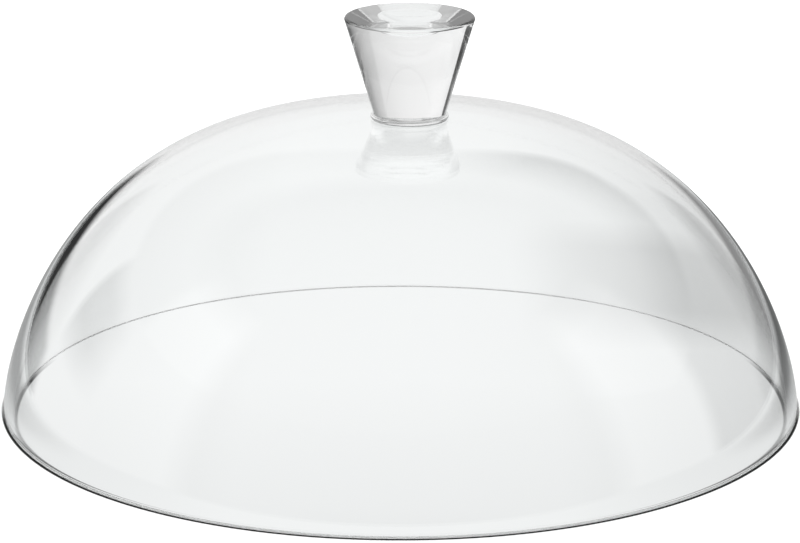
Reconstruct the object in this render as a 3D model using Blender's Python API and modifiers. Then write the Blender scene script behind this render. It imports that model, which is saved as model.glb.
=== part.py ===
"""Clear glass cake dome: a pressed shell, a solid knob and the film that bonds them.

Metres, +Z up. The origin is the centre of the rim's underside. The shell is turned
about +Z, and the knob and the film about a line beside it, towards +X.
"""
import math

import bpy
import mathutils

# ---- The dome ----
DOME_RADIUS = 0.155          # outside, at the rim, which is the widest place
CROWN_HEIGHT = 0.1131        # underside of the rim to the top of the crown
DOME_WALL = 0.004            # square to the surface, the same all over
RISE_POWER = 1.55            # the outside follows rise**RISE_POWER + spread**SPREAD_POWER = 1
SPREAD_POWER = 2.88
RIM_ROUND = 0.0006           # both edges of the rim; the flat between them is ground

# ---- The knob, a solid cone with its wide end up, on a thin foot flange ----
KNOB_FOOT_RADIUS = 0.0138    # of the cone, where it meets the flange
KNOB_TOP_RADIUS = 0.0253     # before its edge is rounded
KNOB_HEIGHT = 0.0389         # with the flange
KNOB_EDGE_ROUND = 0.0010
FLANGE_LEDGE = 0.0012        # how far the flange shows round the cone
FLANGE_HEIGHT = 0.0008
FLANGE_ROUND = 0.00035       # both its edges
FLANGE_FILLET = 0.0003       # in the corner between the flange and the cone
DISH_RADIUS = 0.0123         # the hollow in the knob's top, where its ball would cut the land
DISH_DEPTH = 0.0035
DISH_LIP_ROUND = 0.0030
KNOB_OFFSET = 0.0035         # the knob is set by hand and stands this far off the dome's axis

# ---- The bond ----
BOND_THICKNESS = 0.0002
BOND_SETBACK = 0.0004        # the film stops this far inside the flange's edge
TOUCH_GAP = 0.00025          # between faces that touch

# ---- Fineness ----
DOME_STEPS = 64
KNOB_STEPS = 48
WALL_POINTS = 18             # along the outside of the dome, and along the inside
FINE_POINTS = 400            # a curve is first read this finely, then evened out
ARC_POINTS = 3               # along a small rounded edge
DISH_POINTS = 7
WELD = 0.00001               # points closer than this become one
CORNER_DEGREES = 35          # a turned edge sharper than this is shaded as a corner

GLASS_TINT = (0.90, 0.95, 0.94, 1.0)
KNOB_TINT = (0.93, 0.95, 0.94, 1.0)
BOND_TINT = (0.82, 0.84, 0.82, 1.0)


def clear_scene():
    for thing in list(bpy.data.objects):
        bpy.data.objects.remove(thing, do_unlink=True)


def glass(name, tint, roughness):
    material = bpy.data.materials.new(name)
    material.use_nodes = True
    shader = material.node_tree.nodes["Principled BSDF"]
    shader.inputs["Base Color"].default_value = tint
    shader.inputs["Roughness"].default_value = roughness
    shader.inputs["Metallic"].default_value = 0.0
    shader.inputs["IOR"].default_value = 1.52
    shader.inputs["Transmission Weight"].default_value = 1.0
    material.diffuse_color = tint
    return material


def arc(centre, radius, start, end, count):
    """Points on a round from one angle to another, in degrees, both ends included."""
    points = []
    for i in range(count + 1):
        angle = math.radians(start + (end - start) * i / count)
        points.append((centre[0] + radius * math.cos(angle), centre[1] + radius * math.sin(angle)))
    return points


def spread_evenly(points, count):
    """The same line with count + 1 points at equal distances along it."""
    reached = [0.0]
    for a, b in zip(points, points[1:]):
        reached.append(reached[-1] + math.dist(a, b))
    even = []
    piece = 0
    for i in range(count + 1):
        wanted = reached[-1] * i / count
        while piece < len(points) - 2 and reached[piece + 1] < wanted:
            piece += 1
        share = (wanted - reached[piece]) / (reached[piece + 1] - reached[piece])
        a, b = points[piece], points[piece + 1]
        even.append((a[0] + share * (b[0] - a[0]), a[1] + share * (b[1] - a[1])))
    return even


def dome_point(turn, inset):
    """The dome's section: turn runs from 0 at the rim to 1 at the crown's centre."""
    rise_span = CROWN_HEIGHT - RIM_ROUND
    angle = 0.5 * math.pi * turn
    spread = math.cos(angle) ** (2 / SPREAD_POWER)
    rise = math.sin(angle) ** (2 / RISE_POWER)
    out = SPREAD_POWER * spread ** (SPREAD_POWER - 1) / DOME_RADIUS
    up = RISE_POWER * rise ** (RISE_POWER - 1) / rise_span
    length = math.hypot(out, up)
    return (DOME_RADIUS * spread - inset * out / length,
            RIM_ROUND + rise_span * rise - inset * up / length)


def dome_curve(inset, inner_radius):
    """The section from the rim in to inner_radius, evenly spaced."""
    fine = [dome_point(i / FINE_POINTS, inset) for i in range(FINE_POINTS)]
    fine.append((0.0, CROWN_HEIGHT - inset))
    kept = [point for point in fine if point[0] > inner_radius]
    last, after = kept[-1], fine[len(kept)]
    share = (last[0] - inner_radius) / (last[0] - after[0])
    kept.append((inner_radius, last[1] + share * (after[1] - last[1])))
    return spread_evenly(kept, WALL_POINTS)


def bond_bottom():
    return CROWN_HEIGHT + TOUCH_GAP


def knob_bottom():
    return bond_bottom() + BOND_THICKNESS + TOUCH_GAP


def flange_radius():
    return KNOB_FOOT_RADIUS + FLANGE_LEDGE


def turned(name, profile, steps, offset, material, collection):
    """One solid from half its section, listed from the axis down its outer side."""
    outline = bpy.data.meshes.new(name + "_section")
    edges = [(i, i + 1) for i in range(len(profile) - 1)]
    outline.from_pydata([(r, 0.0, z) for r, z in profile], edges, [])
    thing = bpy.data.objects.new(name, outline)
    collection.objects.link(thing)
    screw = thing.modifiers.new("turn", "SCREW")
    screw.axis = "Z"
    screw.angle = 2 * math.pi
    screw.steps = steps
    screw.render_steps = steps
    screw.use_merge_vertices = True
    screw.merge_threshold = WELD

    # The turned mesh replaces the section, so that its corners can be shaded sharp.
    view = bpy.context.evaluated_depsgraph_get()
    solid = bpy.data.meshes.new_from_object(thing.evaluated_get(view))
    solid.name = name
    solid.transform(mathutils.Matrix.Translation((offset, 0.0, 0.0)))
    solid.materials.append(material)
    solid.shade_smooth()
    solid.set_sharp_from_angle(angle=math.radians(CORNER_DEGREES))
    thing.modifiers.clear()
    thing.data = solid
    bpy.data.meshes.remove(outline)
    return thing


def dome_section():
    outside = dome_curve(0.0, 0.0)[::-1]
    outer_round = arc((DOME_RADIUS - RIM_ROUND, RIM_ROUND), RIM_ROUND, 0, -90, ARC_POINTS)
    inner_centre = (DOME_RADIUS - DOME_WALL + RIM_ROUND, RIM_ROUND)
    inner_round = arc(inner_centre, RIM_ROUND, -90, -180, ARC_POINTS)
    inside = dome_curve(DOME_WALL, 0.0)
    return outside + outer_round[1:] + inner_round + inside[1:]


def dish_curve(top):
    """Part of a ball from the axis out, then a lip that rolls over into the flat land."""
    ball = (DISH_RADIUS ** 2 + DISH_DEPTH ** 2) / (2 * DISH_DEPTH)
    ball_height = top - DISH_DEPTH + ball
    lip_height = top - DISH_LIP_ROUND
    drop = ball_height - lip_height
    lip_radius = math.sqrt((ball + DISH_LIP_ROUND) ** 2 - drop ** 2)
    opening = math.degrees(math.atan2(lip_radius, drop))
    dish = arc((0.0, ball_height), ball, -90, -90 + opening, DISH_POINTS)
    lip = arc((lip_radius, lip_height), DISH_LIP_ROUND, 90 + opening, 90, ARC_POINTS)
    return [(0.0, top - DISH_DEPTH)] + dish[1:] + lip[1:]


def knob_section():
    foot = knob_bottom()
    top = foot + KNOB_HEIGHT
    ledge = foot + FLANGE_HEIGHT
    lean = math.degrees(math.atan2(KNOB_TOP_RADIUS - KNOB_FOOT_RADIUS, top - ledge))

    # Each round touches both the face and the leaning side that it joins.
    reach = math.tan(math.radians(45 + lean / 2))
    top_centre = (KNOB_TOP_RADIUS - reach * KNOB_EDGE_ROUND, top - KNOB_EDGE_ROUND)
    top_edge = arc(top_centre, KNOB_EDGE_ROUND, 90, -lean, ARC_POINTS + 2)
    fillet_centre = (KNOB_FOOT_RADIUS + reach * FLANGE_FILLET, ledge + FLANGE_FILLET)
    fillet = arc(fillet_centre, FLANGE_FILLET, 180 - lean, 270, ARC_POINTS)

    rim = flange_radius() - FLANGE_ROUND
    flange_top = arc((rim, ledge - FLANGE_ROUND), FLANGE_ROUND, 90, 0, ARC_POINTS)
    flange_foot = arc((rim, foot + FLANGE_ROUND), FLANGE_ROUND, 0, -90, ARC_POINTS)
    return dish_curve(top) + top_edge + fillet + flange_top + flange_foot + [(0.0, foot)]


def bond_section():
    low = bond_bottom()
    high = low + BOND_THICKNESS
    radius = flange_radius() - BOND_SETBACK
    return [(0.0, high), (radius, high), (radius, low), (0.0, low)]


def build():
    clear_scene()
    parts = bpy.data.collections.new("cake_dome")
    bpy.context.scene.collection.children.link(parts)
    turned("dome_shell", dome_section(), DOME_STEPS, 0.0, glass("dome_glass", GLASS_TINT, 0.02),
           parts)
    turned("bond_film", bond_section(), KNOB_STEPS, KNOB_OFFSET,
           glass("cured_bond", BOND_TINT, 0.10), parts)
    turned("knob", knob_section(), KNOB_STEPS, KNOB_OFFSET, glass("knob_glass", KNOB_TINT, 0.01),
           parts)


build()
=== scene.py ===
"""A clear glass cake dome on a pale table: fine meshes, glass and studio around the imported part."""
import math

import bpy
from mathutils import Matrix, Vector


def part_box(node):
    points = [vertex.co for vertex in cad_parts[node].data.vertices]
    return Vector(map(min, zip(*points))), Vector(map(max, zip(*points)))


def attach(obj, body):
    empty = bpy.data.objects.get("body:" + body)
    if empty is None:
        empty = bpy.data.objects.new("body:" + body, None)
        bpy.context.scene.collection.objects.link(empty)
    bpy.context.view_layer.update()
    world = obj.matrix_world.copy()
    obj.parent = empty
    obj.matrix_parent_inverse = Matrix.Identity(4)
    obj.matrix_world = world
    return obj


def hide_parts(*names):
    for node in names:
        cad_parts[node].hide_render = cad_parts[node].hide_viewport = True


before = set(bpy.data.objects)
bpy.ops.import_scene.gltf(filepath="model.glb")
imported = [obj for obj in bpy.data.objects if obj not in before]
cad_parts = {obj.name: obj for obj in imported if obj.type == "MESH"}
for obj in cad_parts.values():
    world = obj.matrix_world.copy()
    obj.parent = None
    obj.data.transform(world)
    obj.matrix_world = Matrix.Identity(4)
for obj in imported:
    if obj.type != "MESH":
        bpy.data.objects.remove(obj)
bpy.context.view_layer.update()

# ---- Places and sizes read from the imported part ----
DOME_LOW, DOME_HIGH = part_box("dome_shell")
KNOB_LOW, KNOB_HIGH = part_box("knob")
FILM_LOW, FILM_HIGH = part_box("bond_film")
DOME_RADIUS = (DOME_HIGH[0] - DOME_LOW[0]) / 2
CROWN_HEIGHT = DOME_HIGH[2]
KNOB_AXIS = (KNOB_LOW[0] + KNOB_HIGH[0]) / 2      # the knob stands beside the dome's axis
KNOB_TOP = KNOB_HIGH[2]
FILM_RADIUS = (FILM_HIGH[0] - FILM_LOW[0]) / 2

# ---- The dome's section ----
DOME_WALL = 0.004
RISE_POWER = 1.55            # the outside follows rise**RISE_POWER + spread**SPREAD_POWER = 1
SPREAD_POWER = 2.88
RIM_ROUND = 0.0006
GROUND_DEPTH = 0.0001        # the flat under the rim is ground this far up

# ---- The knob's section ----
KNOB_FOOT_RADIUS = 0.0138
KNOB_CORNER_RADIUS = 0.0253  # of the top, before its edge is rounded
KNOB_EDGE_ROUND = 0.0010
FLANGE_RADIUS = 0.0150
FLANGE_RISE = 0.00135        # of its upper face over the crown
FLANGE_TOP = CROWN_HEIGHT + FLANGE_RISE
FLANGE_ROUND = 0.0005
FLANGE_FILLET = 0.0003
DISH_RADIUS = 0.0123
DISH_DEPTH = 0.0035
DISH_LIP_ROUND = 0.0030

# ---- The bond ----
BOND_THICKNESS = 0.00012     # at its thinnest, over the crown
BOND_CLEARANCE = 0.00002     # to the glass above it and below it

# ---- Fineness ----
STEPS = 256                  # round every turned piece
CURVE_POINTS = 150           # along the dome's outside, and along its inside
FINE_POINTS = 3000           # a curve is first read this finely, then evened out
ROUND_POINTS = 12            # along a small rounded edge
DISH_POINTS = 40
LONGEST_EDGE = 0.0009        # a straight stretch of the knob is cut finer than this
WELD = 0.000001
CORNER_DEGREES = 25          # a turned edge sharper than this is shaded as a corner

GLASS_IOR = 1.52
RESIN_IOR = 1.50


# ---- Node maths ----
class Number:
    """A number socket in a node tree, so that shader maths reads as a formula."""

    def __init__(self, nodes, socket):
        self.nodes = nodes
        self.socket = socket

    def math(self, operation, *values, clamp=False):
        settings = {"operation": operation, "use_clamp": clamp}
        return Number(self.nodes, self.nodes.add("ShaderNodeMath", settings, *values).outputs[0])

    def __add__(self, other):
        return self.math("ADD", self, other)

    def __radd__(self, other):
        return self.math("ADD", other, self)

    def __sub__(self, other):
        return self.math("SUBTRACT", self, other)

    def __rsub__(self, other):
        return self.math("SUBTRACT", other, self)

    def __mul__(self, other):
        return self.math("MULTIPLY", self, other)

    def __rmul__(self, other):
        return self.math("MULTIPLY", other, self)

    def __truediv__(self, other):
        return self.math("DIVIDE", self, other)

    def __rtruediv__(self, other):
        return self.math("DIVIDE", other, self)

    def __neg__(self):
        return self.math("MULTIPLY", self, -1.0)

    def __abs__(self):
        return self.math("ABSOLUTE", self)

    def __lt__(self, other):
        return self.math("LESS_THAN", self, other)

    def __gt__(self, other):
        return self.math("GREATER_THAN", self, other)

    def root(self):
        return self.math("SQRT", self)

    def arcsine(self):
        return self.math("ARCSINE", self)

    def turned_from(self, ahead):
        """The angle from the line ahead, where this is how far the line goes to the right."""
        return self.math("ARCTAN2", self, ahead)

    def clamped(self):
        return self.math("ADD", self, 0.0, clamp=True)

    def at_least(self, other):
        return self.math("MAXIMUM", self, other)

    def rising(self, start, width):
        """0 up to the start, then a straight climb to 1 over the width."""
        return ((self - start) / width).clamped()

    def falling(self, end, width):
        """0 from the end on, and 1 this width or more before it."""
        return ((end - self) / width).clamped()

    def past(self, limit, soft):
        """0 before the limit and 1 after it, half way at the limit."""
        return ((self - limit) / soft + 0.5).clamped()

    def before(self, limit, soft):
        return ((limit - self) / soft + 0.5).clamped()

    def between(self, low, high, soft):
        """1 inside the two limits and 0 outside, over a soft edge."""
        return self.past(low, soft) * self.before(high, soft)


class Nodes:
    """A node tree, with one way to add any node."""

    def __init__(self, owner):
        owner.use_nodes = True
        self.tree = owner.node_tree

    def add(self, kind, settings=None, *values, **named):
        node = self.tree.nodes.new(kind)
        for setting, value in (settings or {}).items():
            setattr(node, setting, value)
        for place, value in list(enumerate(values)) + list(named.items()):
            self.feed(node.inputs[place], value)
        return node

    def feed(self, socket, value):
        if isinstance(value, Number):
            value = value.socket
        if isinstance(value, bpy.types.NodeSocket):
            self.tree.links.new(value, socket)
        else:
            socket.default_value = value

    def number(self, socket):
        return Number(self, socket)

    def noise(self, place, scale, detail=2.0, roughness=0.5):
        node = self.add("ShaderNodeTexNoise", {"noise_dimensions": "3D"},
                        Vector=place, Scale=scale, Detail=detail, Roughness=roughness)
        return self.number(node.outputs["Fac"])


# ---- Shapes ----
def arc(centre, radius, start, end, count):
    """Points on a round from one angle to another, in degrees, both ends included."""
    points = []
    for i in range(count + 1):
        angle = math.radians(start + (end - start) * i / count)
        points.append((centre[0] + radius * math.cos(angle), centre[1] + radius * math.sin(angle)))
    return points


def spread_evenly(points, count):
    """The same line with count + 1 points at equal distances along it."""
    reached = [0.0]
    for a, b in zip(points, points[1:]):
        reached.append(reached[-1] + math.dist(a, b))
    even = []
    piece = 0
    for i in range(count + 1):
        wanted = reached[-1] * i / count
        while piece < len(points) - 2 and reached[piece + 1] < wanted:
            piece += 1
        share = (wanted - reached[piece]) / (reached[piece + 1] - reached[piece])
        a, b = points[piece], points[piece + 1]
        even.append((a[0] + share * (b[0] - a[0]), a[1] + share * (b[1] - a[1])))
    return even


def cut_finely(points):
    """The same line, with no stretch longer than LONGEST_EDGE."""
    fine = [points[0]]
    for a, b in zip(points, points[1:]):
        parts = max(1, math.ceil(math.dist(a, b) / LONGEST_EDGE))
        for i in range(1, parts + 1):
            fine.append((a[0] + (b[0] - a[0]) * i / parts, a[1] + (b[1] - a[1]) * i / parts))
    return fine


def dome_point(turn, inset):
    """The dome's section: turn runs from 0 at the rim to 1 at the crown's centre."""
    rise_span = CROWN_HEIGHT - RIM_ROUND
    angle = 0.5 * math.pi * turn
    spread = math.cos(angle) ** (2 / SPREAD_POWER)
    rise = math.sin(angle) ** (2 / RISE_POWER)
    out = SPREAD_POWER * spread ** (SPREAD_POWER - 1) / DOME_RADIUS
    up = RISE_POWER * rise ** (RISE_POWER - 1) / rise_span
    length = math.hypot(out, up)
    return (DOME_RADIUS * spread - inset * out / length,
            RIM_ROUND + rise_span * rise - inset * up / length)


def dome_curve(inset):
    """The section from the rim up to the crown's centre, evenly spaced."""
    fine = [dome_point(i / FINE_POINTS, inset) for i in range(FINE_POINTS)]
    fine.append((0.0, CROWN_HEIGHT - inset))
    return spread_evenly(fine, CURVE_POINTS)


def crown_under(distance):
    """The height of the dome's outside, this far from its axis."""
    spread = distance / DOME_RADIUS
    rise = (1 - spread ** SPREAD_POWER) ** (1 / RISE_POWER)
    return RIM_ROUND + (CROWN_HEIGHT - RIM_ROUND) * rise


def turned(name, profile, axis):
    """A turned solid from half its section, listed from the axis down its outer side."""
    outline = bpy.data.meshes.new(name + "_section")
    edges = [(i, i + 1) for i in range(len(profile) - 1)]
    outline.from_pydata([(r, 0.0, z) for r, z in profile], edges, [])
    thing = bpy.data.objects.new(name, outline)
    bpy.context.scene.collection.objects.link(thing)
    screw = thing.modifiers.new("turn", "SCREW")
    screw.axis = "Z"
    screw.angle = 2 * math.pi
    screw.steps = STEPS
    screw.render_steps = STEPS
    screw.use_merge_vertices = True
    screw.merge_threshold = WELD
    view = bpy.context.evaluated_depsgraph_get()
    solid = bpy.data.meshes.new_from_object(thing.evaluated_get(view))
    solid.name = name
    solid.transform(Matrix.Translation((axis, 0.0, 0.0)))
    thing.modifiers.clear()
    thing.data = solid
    bpy.data.meshes.remove(outline)
    return thing


def shade_round(thing):
    thing.data.shade_smooth()
    thing.data.set_sharp_from_angle(angle=math.radians(CORNER_DEGREES))


def make_dome():
    outside = dome_curve(0.0)[::-1]
    outer_round = arc((DOME_RADIUS - RIM_ROUND, RIM_ROUND), RIM_ROUND, 0, -90, ROUND_POINTS)
    inner_centre = (DOME_RADIUS - DOME_WALL + RIM_ROUND, RIM_ROUND)
    inner_round = arc(inner_centre, RIM_ROUND, -90, -180, ROUND_POINTS)
    inside = dome_curve(DOME_WALL)
    profile = outside + cut_finely(outer_round[1:] + inner_round) + inside[1:]
    dome = turned("dome_glass_shell", profile, 0.0)
    shade_round(dome)
    return dome


def dish_curve():
    """Part of a ball from the axis out, then a lip that rolls over into the flat land."""
    ball = (DISH_RADIUS ** 2 + DISH_DEPTH ** 2) / (2 * DISH_DEPTH)
    ball_height = KNOB_TOP - DISH_DEPTH + ball
    lip_height = KNOB_TOP - DISH_LIP_ROUND
    drop = ball_height - lip_height
    lip_radius = math.sqrt((ball + DISH_LIP_ROUND) ** 2 - drop ** 2)
    opening = math.degrees(math.atan2(lip_radius, drop))
    dish = arc((0.0, ball_height), ball, -90, -90 + opening, DISH_POINTS)
    lip = arc((lip_radius, lip_height), DISH_LIP_ROUND, 90 + opening, 90, ROUND_POINTS)
    return [(0.0, KNOB_TOP - DISH_DEPTH)] + dish[1:] + lip[1:]


def knob_foot():
    return CROWN_HEIGHT + BOND_THICKNESS


def make_knob():
    foot = knob_foot()
    lean = math.degrees(math.atan2(KNOB_CORNER_RADIUS - KNOB_FOOT_RADIUS, KNOB_TOP - FLANGE_TOP))
    reach = math.tan(math.radians(45 + lean / 2))
    top_centre = (KNOB_CORNER_RADIUS - reach * KNOB_EDGE_ROUND, KNOB_TOP - KNOB_EDGE_ROUND)
    top_edge = arc(top_centre, KNOB_EDGE_ROUND, 90, -lean, ROUND_POINTS)
    fillet_centre = (KNOB_FOOT_RADIUS + reach * FLANGE_FILLET, FLANGE_TOP + FLANGE_FILLET)
    fillet = arc(fillet_centre, FLANGE_FILLET, 180 - lean, 270, ROUND_POINTS)
    rim = FLANGE_RADIUS - FLANGE_ROUND
    flange_top = arc((rim, FLANGE_TOP - FLANGE_ROUND), FLANGE_ROUND, 90, 0, ROUND_POINTS)
    flange_foot = arc((rim, foot + FLANGE_ROUND), FLANGE_ROUND, 0, -90, ROUND_POINTS)
    profile = dish_curve() + top_edge + fillet + flange_top + flange_foot + [(0.0, foot)]
    knob = turned("knob_cone", cut_finely(profile), KNOB_AXIS)
    shade_round(knob)
    return knob


def make_film():
    """The resin between the flat flange and the domed crown, thicker where the crown falls away."""
    high = knob_foot() - BOND_CLEARANCE
    low = high - BOND_THICKNESS / 2
    profile = cut_finely([(0.0, high), (FILM_RADIUS, high), (FILM_RADIUS, low), (0.0, low)])
    film = turned("cured_film", profile, KNOB_AXIS)
    for vertex in film.data.vertices:
        if vertex.co.z < high - BOND_CLEARANCE:
            distance = math.hypot(vertex.co.x, vertex.co.y)
            vertex.co.z = crown_under(distance) + BOND_CLEARANCE
    film.data.update()
    shade_round(film)
    return film


# ---- Finishes ----
WAVE_SCALE = 22.0            # of the slow ripple left by pressing
WAVE_DETAIL = 1.5
PEEL_SCALE = 260.0           # of the fine ripple on it
PEEL_DETAIL = 1.0
PEEL_SHARE = 0.02            # the fine ripple's height, as a share of the slow one's
SMEAR_SCALE = 45.0           # of the wipe marks
SMEAR_DETAIL = 5.0
SMEAR_ROUGHNESS = 0.65
SMEAR_START = 0.55           # only the strongest smears roughen the glass
SMEAR_EXTRA = 0.02
POLISH = 0.004               # roughness of fire-polished glass
GRIT_SCALE = 1400.0          # of the grinding marks under the rim
GRIT_DETAIL = 3.0
GROUND_ROUGHNESS = 0.25
GROUND_GRIT = 0.20
FROST_COLOUR = (0.95, 0.96, 0.96, 1.0)
FROST_LEAST = 0.60           # how much of the ground face scatters light
FROST_GRIT = 0.40
RIPPLE_OF_DOME = 0.00001
RIPPLE_OF_KNOB = 0.000005
DOME_TINT = (0.72, 0.90, 0.84, 1.0)
DOME_DENSITY = 3.0           # how fast the tint deepens through the glass
KNOB_TINT = (0.86, 0.93, 0.91, 1.0)
KNOB_DENSITY = 0.8
CLEAR = (1.0, 1.0, 1.0, 1.0)
CLOUD_SCALE = 500.0          # of the haze in the resin
CLOUD_DETAIL = 3.0
RESIN_COLOUR = (0.96, 0.97, 0.96, 1.0)
RESIN_ROUGHNESS = 0.02
RESIN_CLOUDS = 0.06


def glass(name, tint, density, ripple, rim_ground):
    """Pressed glass, fire polished: faint ripples, a few wipe marks, and its own tint in depth."""
    material = bpy.data.materials.new(name)
    nodes = Nodes(material)
    nodes.tree.nodes.clear()
    place = nodes.add("ShaderNodeTexCoord").outputs["Object"]
    waves = nodes.noise(place, WAVE_SCALE, detail=WAVE_DETAIL)
    peel = nodes.noise(place, PEEL_SCALE, detail=PEEL_DETAIL)
    smears = nodes.noise(place, SMEAR_SCALE, detail=SMEAR_DETAIL, roughness=SMEAR_ROUGHNESS)
    rough = POLISH + SMEAR_EXTRA * (smears - SMEAR_START).at_least(0.0)
    if rim_ground:
        height = nodes.number(nodes.add("ShaderNodeSeparateXYZ", None, place).outputs["Z"])
        grit = nodes.noise(place, GRIT_SCALE, detail=GRIT_DETAIL)
        ground = height < GROUND_DEPTH
        rough = rough + ground * (GROUND_ROUGHNESS + GROUND_GRIT * grit)
    bump = nodes.add("ShaderNodeBump", None, Height=waves * ripple + peel * (ripple * PEEL_SHARE),
                     Distance=1.0, Strength=1.0)
    shader = nodes.add("ShaderNodeBsdfPrincipled", None)
    nodes.feed(shader.inputs["Base Color"], CLEAR)
    nodes.feed(shader.inputs["Roughness"], rough)
    nodes.feed(shader.inputs["IOR"], GLASS_IOR)
    nodes.feed(shader.inputs["Transmission Weight"], 1.0)
    nodes.feed(shader.inputs["Normal"], bump.outputs["Normal"])
    depth = nodes.add("ShaderNodeVolumeAbsorption", None, Color=tint, Density=density)
    surface = shader.outputs["BSDF"]
    if rim_ground:
        frost = nodes.add("ShaderNodeBsdfDiffuse", None, Color=FROST_COLOUR)
        surface = nodes.add("ShaderNodeMixShader", None, ground * (FROST_LEAST + FROST_GRIT * grit),
                            surface, frost.outputs["BSDF"]).outputs["Shader"]
    output = nodes.add("ShaderNodeOutputMaterial")
    nodes.feed(output.inputs["Surface"], surface)
    nodes.feed(output.inputs["Volume"], depth.outputs["Volume"])
    return material


def resin(name):
    """Cured clear adhesive: a little cloudy where it set unevenly."""
    material = bpy.data.materials.new(name)
    nodes = Nodes(material)
    nodes.tree.nodes.clear()
    place = nodes.add("ShaderNodeTexCoord").outputs["Object"]
    clouds = nodes.noise(place, CLOUD_SCALE, detail=CLOUD_DETAIL)
    shader = nodes.add("ShaderNodeBsdfPrincipled", None)
    nodes.feed(shader.inputs["Base Color"], RESIN_COLOUR)
    nodes.feed(shader.inputs["Roughness"], RESIN_ROUGHNESS + RESIN_CLOUDS * clouds)
    nodes.feed(shader.inputs["IOR"], RESIN_IOR)
    nodes.feed(shader.inputs["Transmission Weight"], 1.0)
    output = nodes.add("ShaderNodeOutputMaterial")
    nodes.feed(output.inputs["Surface"], shader.outputs["BSDF"])
    return material


# ---- The table ----
# Places are in metres from the dome's axis. Where three numbers stand together, they are from,
# to and softness. A shade is painted shade: how much dimmer the top is painted there.
TABLE_SIDE = 0.275           # from the middle to the left edge and to the right edge
TABLE_FRONT = -0.19
TABLE_BACK = 0.78
TABLE_CORNER = 0.05
TABLE_DROP = 0.0001          # below the rim, so that the two faces don't share a plane
TABLE_WHITE = 0.92           # as the camera sees it
TABLE_LIGHT = 0.97           # painted light: how bright the top glows as the glass sees it
TABLE_RED = 0.985            # its red, as a share of its green and its blue
PAINTED_STRIP_RIGHT = (0.168, 0.235, 0.03)       # painted shade: dark strips beside the dome, seen by the glass alone
PAINTED_STRIP_LEFT = (-0.235, -0.165, 0.03)
PAINTED_STRIP_LENGTH = (-0.06, 0.48, 0.05)
PAINTED_STRIP_RIGHT_SHADE = 0.75
PAINTED_STRIP_LEFT_SHADE = 0.50
SIDE_START, SIDE_WIDTH, SIDE_SHADE = 0.06, 0.12, 0.15       # toward both sides
RIGHT_START, RIGHT_WIDTH, RIGHT_SHADE = 0.02, 0.13, 0.04
FRONT_END, FRONT_WIDTH, FRONT_SHADE = 0.02, 0.15, 0.07      # toward the front
FAR_RIGHT_START, FAR_RIGHT_WIDTH, FAR_RIGHT_SHADE = 0.05, 0.07, 0.20
FAR_RIGHT_LENGTH = (0.09, 0.26, 0.06)
RIM_CONTACT = (0.1496, 0.1558, 0.0006)  # painted shadow: the ring under the rim, as the glass sees it
RIM_CONTACT_END, RIM_CONTACT_FADE = 0.05, 0.03              # it fades out toward the back
RIM_SHADE = 0.92             # how much darker the painted shadow makes the table right under the rim
RIM_LINE = (0.1543, 0.1558, 0.0003)     # the thin line of painted shadow that the camera sees there
RIM_LINE_END, RIM_LINE_FADE = 0.02, 0.05
RIM_LINE_SHADE = 0.97


def table_top():
    """A pale top. The camera sees it plain, with a thin painted shadow line at the front of the rim.

    The glass sees it glow with painted light, with painted shade beside the dome, painted dark strips
    and a painted shadow right under the rim.
    """
    material = bpy.data.materials.new("table_top")
    nodes = Nodes(material)
    nodes.tree.nodes.clear()
    place = nodes.add("ShaderNodeNewGeometry").outputs["Position"]
    parts = nodes.add("ShaderNodeSeparateXYZ", None, place)
    x, y = nodes.number(parts.outputs["X"]), nodes.number(parts.outputs["Y"])
    reach = (x * x + y * y).root()

    # painted shade: dark strips on the top beside the dome, seen by the glass alone
    painted_dark_patch = x.between(*PAINTED_STRIP_RIGHT) * PAINTED_STRIP_RIGHT_SHADE + x.between(*PAINTED_STRIP_LEFT) * PAINTED_STRIP_LEFT_SHADE
    painted_dark_patch = painted_dark_patch * y.between(*PAINTED_STRIP_LENGTH)
    # painted shade: dimmer toward the sides, the right, the front and the far right
    side = abs(x).rising(SIDE_START, SIDE_WIDTH)
    right = x.rising(RIGHT_START, RIGHT_WIDTH)
    front = y.falling(FRONT_END, FRONT_WIDTH)
    far_right = x.rising(FAR_RIGHT_START, FAR_RIGHT_WIDTH) * y.between(*FAR_RIGHT_LENGTH)
    seen = TABLE_LIGHT - SIDE_SHADE * side - RIGHT_SHADE * right - FRONT_SHADE * front
    seen = seen - FAR_RIGHT_SHADE * far_right
    # painted shadow right under the rim, fading out toward the back
    painted_contact_shadow = reach.between(*RIM_CONTACT) * y.falling(RIM_CONTACT_END, RIM_CONTACT_FADE)
    seen = seen * (1 - painted_dark_patch) * (1 - RIM_SHADE * painted_contact_shadow)
    colour = nodes.add("ShaderNodeCombineColor", None, Red=seen * TABLE_RED, Green=seen, Blue=seen)
    # the glass sees the top glow with this painted light and shade
    shown = nodes.add("ShaderNodeEmission", None, Color=colour.outputs["Color"], Strength=1.0)

    # painted shadow: a thin dark line that the camera sees at the front of the rim
    painted_shadow_line = reach.between(*RIM_LINE) * y.falling(RIM_LINE_END, RIM_LINE_FADE)
    white = TABLE_WHITE * (1 - RIM_LINE_SHADE * painted_shadow_line)
    pale = nodes.add("ShaderNodeCombineColor", None, Red=white, Green=white, Blue=white)
    plain = nodes.add("ShaderNodeBsdfDiffuse", None, Color=pale.outputs["Color"])
    camera = nodes.add("ShaderNodeLightPath").outputs["Is Camera Ray"]
    mix = nodes.add("ShaderNodeMixShader", None, camera, shown.outputs["Emission"],
                    plain.outputs["BSDF"])
    output = nodes.add("ShaderNodeOutputMaterial")
    nodes.feed(output.inputs["Surface"], mix.outputs["Shader"])
    return material


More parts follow.
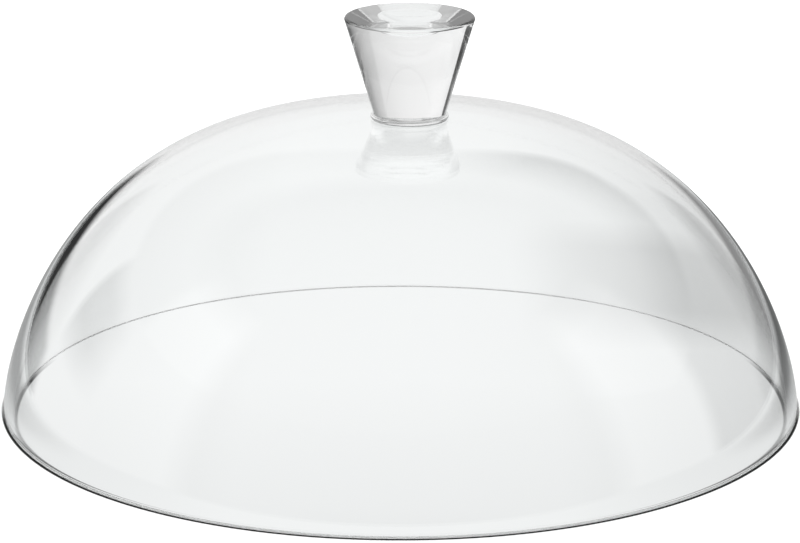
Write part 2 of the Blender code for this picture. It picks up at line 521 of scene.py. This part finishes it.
def lay_table():
    """A table top, its corners rounded."""
    outline = []
    corners = [(TABLE_SIDE, TABLE_BACK, 0), (-TABLE_SIDE, TABLE_BACK, 90),
               (-TABLE_SIDE, TABLE_FRONT, 180), (TABLE_SIDE, TABLE_FRONT, 270)]
    for x, y, start in corners:
        centre = (x - math.copysign(TABLE_CORNER, x), y - math.copysign(TABLE_CORNER, y))
        outline += arc(centre, TABLE_CORNER, start, start + 90, ROUND_POINTS)
    mesh = bpy.data.meshes.new("table")
    mesh.from_pydata([(x, y, -TABLE_DROP) for x, y in outline], [], [list(range(len(outline)))])
    table = bpy.data.objects.new("table", mesh)
    bpy.context.scene.collection.objects.link(table)
    mesh.materials.append(table_top())


# ---- The surround ----
# Angles are in degrees, round from straight behind the dome with its right at 90, and up. Where
# three numbers stand together, they are from, to and softness. All but LIGHT is for the glass.
DEGREES = 180 / math.pi
LIGHT = 1.76                 # plain, as the camera and the table see it
PAPER = 0.88                 # straight behind the dome
PAPER_RIGHT = 0.0030         # dimmer by this for each degree to the right
PAPER_RIGHT_MORE = 0.0001    # and by this for each degree squared
PAPER_LEFT = 0.0021          # brighter by this for each degree to the left
PAPER_STEP, PAPER_STEP_AT, PAPER_STEP_SOFT = 0.08, 29.0, 3.0
PAPER_END, PAPER_END_SOFT = -52.0, 1.5  # a dark card stands where the paper ends on the left
PAPER_CARD_START, PAPER_CARD_FADE = -82.0, 16.0
PAPER_CARD_HEIGHTS = (9.0, 26.0, 8.0)
PAPER_CARD_SHADE = 0.95
BESIDE, BESIDE_AT, BESIDE_SOFT = 1.0, 80.0, 6.0             # bright at both sides
BEHIND_SHADE, BEHIND_AT, BEHIND_SOFT = 0.65, 115.0, 10.0    # dimmer round the camera
EDGE_HEIGHT, EDGE_SOFT = 28.0, 1.5      # the paper's upper edge
EDGE_DROOP = 11.0                       # how far that edge comes down to the right
DROOP_START, DROOP_WIDTH = 26.0, 60.0
DROOP_END, DROOP_FADE = 120.0, 30.0
CEILING = 0.75
CEILING_BESIDE = 0.40
CEILING_BEHIND_SHADE = 0.35
DIM_CEILING = (8.0, 78.0, 10.0)         # dim from straight ahead round to the right
DIM_LIGHT, DIM_CLIMB = 0.08, 0.55       # darkest just over the paper's edge
CLIMB_START, CLIMB_WIDTH = 2.0, 14.0
OVERHEAD, OVERHEAD_AT, OVERHEAD_SOFT = 0.42, 48.0, 10.0
GAP_LEFT = (-48.0, -13.0, 3.0)          # dark between the table's edge and the paper
GAP_LEFT_HEIGHTS = (-16.0, 1.0, 2.0)
GAP_RIGHT = (13.0, 52.0, 3.0)
GAP_RIGHT_HEIGHTS = (-16.0, 0.0, 2.0)
GAP_RIGHT_SHARE = 0.65
GAP_FRONT_AT, GAP_FRONT_SOFT = 155.0, 16.0
GAP_FRONT_HEIGHTS = (-65.0, -6.0, 14.0)
GAP_SHADE = 0.96


def paper_light(around, height, beside, behind):
    """The paper behind the dome. At the same level it is bright to both sides, and dim behind."""
    right = around.at_least(0.0)
    left = (-around).at_least(0.0)
    paper = PAPER - PAPER_RIGHT * right - PAPER_RIGHT_MORE * right * right + PAPER_LEFT * left
    paper = paper - PAPER_STEP * around.past(PAPER_STEP_AT, PAPER_STEP_SOFT)
    painted_dark_patch = around.before(PAPER_END, PAPER_END_SOFT)
    painted_dark_patch = painted_dark_patch * around.rising(PAPER_CARD_START, PAPER_CARD_FADE)
    painted_dark_patch = painted_dark_patch * height.between(*PAPER_CARD_HEIGHTS)
    paper = paper * (1 - PAPER_CARD_SHADE * painted_dark_patch)
    return paper + beside * (BESIDE - BEHIND_SHADE * behind - paper)


def ceiling_light(around, height, edge, beside, behind):
    """Pale to the left and at both sides, dark then dim to the right, and dim overhead."""
    ceiling = CEILING + CEILING_BESIDE * beside * (1 - behind) - CEILING_BEHIND_SHADE * behind
    climb = (height - edge).rising(CLIMB_START, CLIMB_WIDTH)
    ceiling = ceiling + around.between(*DIM_CEILING) * (DIM_LIGHT + DIM_CLIMB * climb - ceiling)
    overhead = height.past(OVERHEAD_AT, OVERHEAD_SOFT)
    return ceiling + overhead * (OVERHEAD - ceiling)


def dark_gaps(around, height):
    """1 where it is dark: between the table's edge and the paper, and low round the camera."""
    left = around.between(*GAP_LEFT) * height.between(*GAP_LEFT_HEIGHTS)
    right = around.between(*GAP_RIGHT) * height.between(*GAP_RIGHT_HEIGHTS)
    front = abs(around).past(GAP_FRONT_AT, GAP_FRONT_SOFT) * height.between(*GAP_FRONT_HEIGHTS)
    return left.at_least(GAP_RIGHT_SHARE * right).at_least(front)


def studio_surround():
    """Plain and pale to the camera and the table. The glass sees paper, gaps and a ceiling."""
    world = bpy.data.worlds.new("studio")
    bpy.context.scene.world = world
    nodes = Nodes(world)
    nodes.tree.nodes.clear()
    direction = nodes.add("ShaderNodeTexCoord").outputs["Generated"]
    parts = nodes.add("ShaderNodeSeparateXYZ", None, direction)
    x, y, z = [nodes.number(socket) for socket in parts.outputs]
    height = z.arcsine() * DEGREES
    around = x.turned_from(y) * DEGREES
    beside = abs(around).past(BESIDE_AT, BESIDE_SOFT)
    behind = abs(around).past(BEHIND_AT, BEHIND_SOFT)

    droop = around.rising(DROOP_START, DROOP_WIDTH) * around.falling(DROOP_END, DROOP_FADE)
    edge = EDGE_HEIGHT - EDGE_DROOP * droop
    paper = paper_light(around, height, beside, behind)
    ceiling = ceiling_light(around, height, edge, beside, behind)
    seen = paper + height.past(edge, EDGE_SOFT) * (ceiling - paper)
    seen = seen * (1 - GAP_SHADE * dark_gaps(around, height))

    light_path = nodes.add("ShaderNodeLightPath")
    camera = nodes.number(light_path.outputs["Is Camera Ray"])
    scattered = nodes.number(light_path.outputs["Diffuse Depth"]) > 0.5
    plain = camera.at_least(scattered)
    strength = plain * LIGHT + (1 - plain) * seen
    light = nodes.add("ShaderNodeBackground", None, Color=CLEAR, Strength=strength)
    output = nodes.add("ShaderNodeOutputWorld")
    nodes.feed(output.inputs["Surface"], light.outputs["Background"])


# ---- Camera ----
VIEW_DISTANCE = 1.3501       # from the rim's centre
VIEW_HEIGHT = 0.3286         # radians above the table
VIEW_RAISED = 0.03635        # radians that the aim is above the rim's centre
VIEW_TURNED = 0.000146       # radians to the left
LENS = 154.485
SENSOR = 36.0


def set_camera():
    camera = bpy.data.objects.new("camera", bpy.data.cameras.new("camera"))
    bpy.context.scene.collection.objects.link(camera)
    camera.data.lens = LENS
    camera.data.sensor_width = SENSOR
    away = VIEW_DISTANCE * math.cos(VIEW_HEIGHT)
    camera.location = Vector((0.0, -away, VIEW_DISTANCE * math.sin(VIEW_HEIGHT)))
    tilt = math.pi / 2 - VIEW_HEIGHT + VIEW_RAISED
    camera.rotation_euler = (tilt, 0.0, VIEW_TURNED)
    bpy.context.scene.camera = camera


def dress(piece, node, finish):
    piece.data.materials.clear()
    piece.data.materials.append(finish)
    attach(piece, "root")
    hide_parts(node)


dress(make_dome(), "dome_shell",
      glass("clear_dome_glass", DOME_TINT, DOME_DENSITY, RIPPLE_OF_DOME, True))
dress(make_knob(), "knob",
      glass("clear_knob_glass", KNOB_TINT, KNOB_DENSITY, RIPPLE_OF_KNOB, False))
dress(make_film(), "bond_film", resin("cured_resin"))
studio_surround()
lay_table()
set_camera()
bpy.context.scene.view_settings.view_transform = "Standard"
